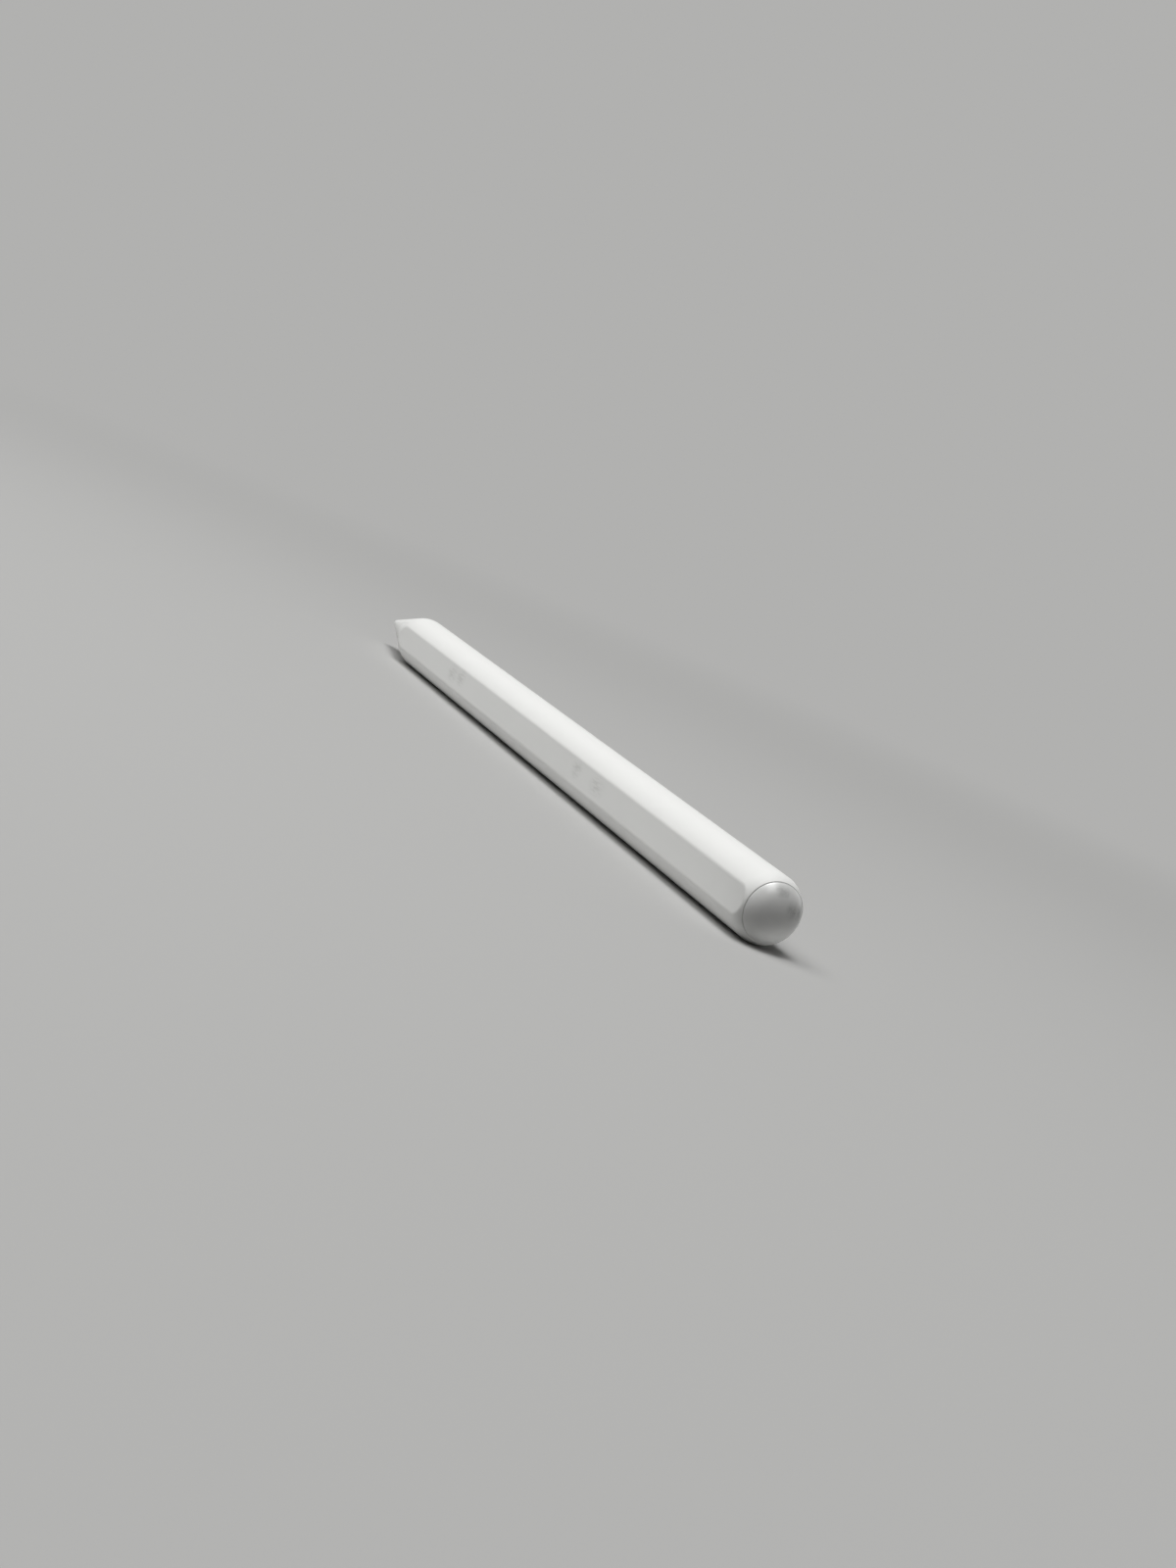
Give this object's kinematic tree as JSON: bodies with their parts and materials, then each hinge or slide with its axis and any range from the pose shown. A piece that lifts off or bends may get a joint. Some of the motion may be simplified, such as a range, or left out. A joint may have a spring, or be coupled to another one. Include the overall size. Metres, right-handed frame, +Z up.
{
  "type": "stylus",
  "caption": "Round white tablet stylus with a long charging flat, a tapered nose, a screw-on nib that yields to pressure and a domed end cap.",
  "frame": {"origin": "on the surface that the barrel lies on, under the barrel's axis, midway between point and rear pole", "axes": "+X along the barrel towards the end cap, -Y out of the long flat, +Z up"},
  "size_m": [0.166, 0.0084, 0.0089],
  "materials": {
    "white_shell": "satin white moulded plastic",
    "white_cap": "glossy white moulded plastic",
    "white_nib": "matte white moulded plastic",
    "brass": "machined",
    "steel": "machined",
    "black_plastic": "moulded",
    "grey_plastic": "moulded",
    "aluminium": "milled",
    "circuit_board": "solder mask",
    "flex_film": "polyimide film",
    "copper": "wound copper wire",
    "ferrite": "sintered",
    "magnet": "nickel plated",
    "cell_can": "wrapped can",
    "tungsten": "sintered heavy metal"
  },
  "bodies": {
    "pen_body": {"barrel": "white_shell", "end_cap": "white_cap", "tilt_electrode": "steel", "flexure_ring": "steel", "force_flexure": "steel", "chassis": "steel", "shield_can": "steel", "magnet_yokes": "steel", "haptic_spring_front": "steel", "haptic_spring_rear": "steel", "guide_bush": "black_plastic", "board_chips": "black_plastic", "antenna_carrier": "black_plastic", "sensor_housing": "grey_plastic", "battery_insulators": "grey_plastic", "flex_connectors": "grey_plastic", "haptic_housing": "aluminium", "haptic_cover": "aluminium", "main_board": "circuit_board", "force_sensor": "circuit_board", "tip_flex": "flex_film", "squeeze_flex": "flex_film", "rear_flex": "flex_film", "squeeze_sensors": "flex_film", "charging_coil": "copper", "haptic_coil": "copper", "antenna": "copper", "ferrite_plate": "ferrite", "front_magnets": "magnet", "rear_magnets": "magnet", "battery_cell": "cell_can"},
    "tip": {"tip_post": "brass", "post_collar": "steel"},
    "nib_carrier": {"nib_electrode": "steel"},
    "nib_screw": {"nib": "white_nib", "nib_thread_insert": "brass"},
    "haptic_mover": {"haptic_mass": "tungsten", "haptic_magnets": "magnet"}
  },
  "joints": [
    {"name": "tip_press", "type": "slide", "parent": "pen_body", "child": "tip", "axis": [1, 0, 0], "range_m": [0, 0.0002], "stiffness_N_per_m": 5000, "deforming": ["force_flexure"]},
    {"name": "nib_advance", "type": "slide", "parent": "tip", "child": "nib_carrier", "axis": [-1, 0, 0], "range_m": [0, 0.0025]},
    {"name": "nib_turn", "type": "hinge", "parent": "nib_carrier", "child": "nib_screw", "pos_m": [-0.0755, 0, 0.00445], "axis": [-1, 0, 0], "range_deg": [0, 1810]},
    {"name": "haptic_slide", "type": "slide", "parent": "pen_body", "child": "haptic_mover", "axis": [1, 0, 0], "range_m": [-0.00035, 0.00035], "stiffness_N_per_m": 1100, "deforming": ["haptic_spring_front", "haptic_spring_rear"]}
  ],
  "couplings": [
    {"joint": "nib_turn", "follows": "nib_advance", "rad_per_m": 12566}
  ]
}
